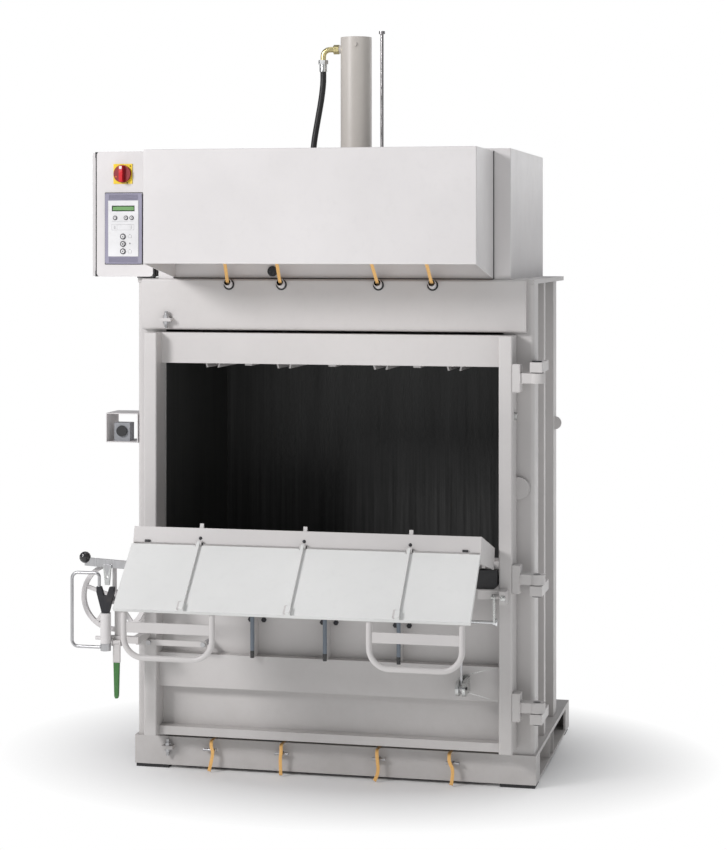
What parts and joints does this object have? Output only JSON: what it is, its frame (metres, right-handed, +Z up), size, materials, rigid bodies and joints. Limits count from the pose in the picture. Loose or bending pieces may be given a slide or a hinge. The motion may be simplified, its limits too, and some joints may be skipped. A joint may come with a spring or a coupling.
{
  "type": "vertical recycling baler",
  "caption": "Vertical baler for cardboard and film with an open fold-up loading flap, hinged front door, hydraulic press cylinder, strap feed and a control cabinet.",
  "frame": {"origin": "on the floor, right under the axis of the press cylinder", "axes": "+X to the machine's right seen by the operator, +Y from the operator into the machine, +Z up"},
  "size_m": [1.627, 1.4874, 2.614],
  "materials": {
    "frame_paint": "satin light lilac-grey paint",
    "cover_paint": "smooth near-white paint",
    "bare_steel": "bare steel, lightly oiled",
    "dark_steel": "dark oiled steel",
    "bright_steel": "bright drawn bar",
    "hard_chrome": "ground hard chrome",
    "zinc": "zinc plated",
    "black_rubber": "matt black rubber",
    "black_plastic": "black moulded plastic",
    "blue_bar": "blue-grey paint",
    "orange_strap": "woven polyester strap",
    "green_grip": "green dipped plastic",
    "yellow_plastic": "yellow plastic",
    "red_plastic": "red plastic",
    "violet_plastic": "purple-grey moulded plastic",
    "film": "printed film with a grey-green display window",
    "key_grey": "dark grey keys",
    "key_red": "red key",
    "key_green": "green key",
    "hydraulic": "grey machine paint"
  },
  "bodies": {
    "frame": {"base_frame": "frame_paint", "bale_floor": "bare_steel", "foot_pads": "black_rubber", "press_frame": "frame_paint", "top_plate": "frame_paint", "header_beam": "frame_paint", "strap_tubes": "zinc", "upper_housing": "cover_paint", "housing_grommets": "black_plastic", "power_unit": "hydraulic", "strap_hood": "cover_paint", "reel_axle": "bare_steel", "press_cylinder": "frame_paint", "port_fitting": "zinc", "oil_hose": "black_rubber", "hinge_lugs": "frame_paint", "hinge_pins": "dark_steel", "cabinet_lid": "cover_paint", "cabinet_seal": "black_rubber", "cabinet_body": "cover_paint", "switch_plate": "yellow_plastic", "keypad_panel": "violet_plastic", "keypad_film": "film", "button_guard": "cover_paint", "straps": "orange_strap", "strap_cleats": "bare_steel", "strap_ends": "orange_strap", "door_stops": "bare_steel"},
    "ram": {"piston_rod": "hard_chrome", "indicator_rod": "bright_steel", "press_platen": "frame_paint"},
    "main_door": {"door_frame": "frame_paint", "door_skin": "frame_paint", "rib_bars": "blue_bar", "door_fasteners": "dark_steel", "lock_bracket": "frame_paint", "lock_tube": "cover_paint", "lock_links": "bare_steel"},
    "lower_flap": {"flap_lower": "cover_paint"},
    "upper_flap": {"flap_upper": "cover_paint", "grab_handles": "cover_paint"},
    "latch_bail": {"latch_bail": "bright_steel"},
    "pull_rod": {"pull_rod": "bare_steel"},
    "lock_handle": {"lock_handle": "bare_steel"},
    "clamp_wheel": {"clamp_wheel": "dark_steel"},
    "ball_lever": {"ball_lever": "bare_steel"},
    "green_lever": {"green_lever": "frame_paint", "lever_grip": "green_grip"},
    "switch_knob": {"switch_knob": "red_plastic"},
    "key_left": {"key_left": "key_grey"},
    "key_centre": {"key_centre": "key_grey"},
    "key_right": {"key_right": "key_grey"},
    "key_up": {"key_up": "key_grey"},
    "key_stop": {"key_stop": "key_red"},
    "key_down": {"key_down": "key_green"},
    "push_button": {"push_button": "black_plastic"},
    "reel_1": {"strap_reel_1": "orange_strap"},
    "reel_2": {"strap_reel_2": "orange_strap"},
    "reel_3": {"strap_reel_3": "orange_strap"},
    "reel_4": {"strap_reel_4": "orange_strap"}
  },
  "joints": [
    {"name": "ram_stroke", "type": "slide", "parent": "frame", "child": "ram", "axis": [0, 0, -1], "range_m": [0, 0.68]},
    {"name": "door_swing", "type": "hinge", "parent": "frame", "child": "main_door", "pos_m": [0.726, -0.46, 0.8], "axis": [0, 0, 1], "range_deg": [0, 100]},
    {"name": "flap_tilt", "type": "hinge", "parent": "main_door", "child": "lower_flap", "pos_m": [0, -0.496, 0.778], "axis": [-1, 0, 0], "range_deg": [0, 74]},
    {"name": "flap_fold", "type": "hinge", "parent": "lower_flap", "child": "upper_flap", "pos_m": [0, -0.77693, 0.85021], "axis": [-1, 0, 0], "range_deg": [0, 60]},
    {"name": "latch_swing", "type": "hinge", "parent": "main_door", "child": "latch_bail", "pos_m": [0, -0.531, 0.668], "axis": [-1, 0, 0], "range_deg": [0, 25]},
    {"name": "pull_rod_lean", "type": "hinge", "parent": "main_door", "child": "pull_rod", "pos_m": [0.482, -0.531, 0.36], "axis": [1, 0, 0], "range_deg": [0, 10]},
    {"name": "lock_handle_turn", "type": "hinge", "parent": "main_door", "child": "lock_handle", "pos_m": [-0.735, -0.626, 0.5], "axis": [0, 0, 1], "range_deg": [0, 80]},
    {"name": "clamp_wheel_turn", "type": "hinge", "parent": "main_door", "child": "clamp_wheel", "pos_m": [-0.722, -0.572, 0.628], "axis": [0, -1, 0], "range_deg": [0, 360]},
    {"name": "ball_lever_lift", "type": "hinge", "parent": "main_door", "child": "ball_lever", "pos_m": [-0.664, -0.601, 0.743], "axis": [0, 1, 0], "range_deg": [0, 60]},
    {"name": "green_lever_swing", "type": "hinge", "parent": "main_door", "child": "green_lever", "pos_m": [-0.699, -0.616, 0.48], "axis": [-1, 0, 0], "range_deg": [0, 45]},
    {"name": "main_switch_turn", "type": "hinge", "parent": "frame", "child": "switch_knob", "pos_m": [-0.751, -0.402, 2.09], "axis": [0, 1, 0], "range_deg": [0, 90]},
    {"name": "press_key_left", "type": "slide", "parent": "frame", "child": "key_left", "axis": [0, 1, 0], "range_m": [0, 0.0012], "stiffness_N_per_m": 800, "springref_m": -0.0005},
    {"name": "press_key_centre", "type": "slide", "parent": "frame", "child": "key_centre", "axis": [0, 1, 0], "range_m": [0, 0.0012], "stiffness_N_per_m": 800, "springref_m": -0.0005},
    {"name": "press_key_right", "type": "slide", "parent": "frame", "child": "key_right", "axis": [0, 1, 0], "range_m": [0, 0.0012], "stiffness_N_per_m": 800, "springref_m": -0.0005},
    {"name": "press_key_up", "type": "slide", "parent": "frame", "child": "key_up", "axis": [0, 1, 0], "range_m": [0, 0.0012], "stiffness_N_per_m": 800, "springref_m": -0.0005},
    {"name": "press_key_stop", "type": "slide", "parent": "frame", "child": "key_stop", "axis": [0, 1, 0], "range_m": [0, 0.0012], "stiffness_N_per_m": 800, "springref_m": -0.0005},
    {"name": "press_key_down", "type": "slide", "parent": "frame", "child": "key_down", "axis": [0, 1, 0], "range_m": [0, 0.0012], "stiffness_N_per_m": 800, "springref_m": -0.0005},
    {"name": "press_side_button", "type": "slide", "parent": "frame", "child": "push_button", "axis": [0, 1, 0], "range_m": [0, 0.004], "stiffness_N_per_m": 800, "springref_m": -0.002},
    {"name": "reel_1_spin", "type": "hinge", "parent": "frame", "child": "reel_1", "pos_m": [0, -0.556, 1.968], "axis": [1, 0, 0], "continuous": true},
    {"name": "reel_2_spin", "type": "hinge", "parent": "frame", "child": "reel_2", "pos_m": [0, -0.556, 1.968], "axis": [1, 0, 0], "continuous": true},
    {"name": "reel_3_spin", "type": "hinge", "parent": "frame", "child": "reel_3", "pos_m": [0, -0.556, 1.968], "axis": [1, 0, 0], "continuous": true},
    {"name": "reel_4_spin", "type": "hinge", "parent": "frame", "child": "reel_4", "pos_m": [0, -0.556, 1.968], "axis": [1, 0, 0], "continuous": true}
  ],
  "couplings": [
    {"joint": "flap_fold", "follows": "flap_tilt", "ratio": 0.8081},
    {"joint": "pull_rod_lean", "follows": "latch_swing", "ratio": 0.348}
  ]
}
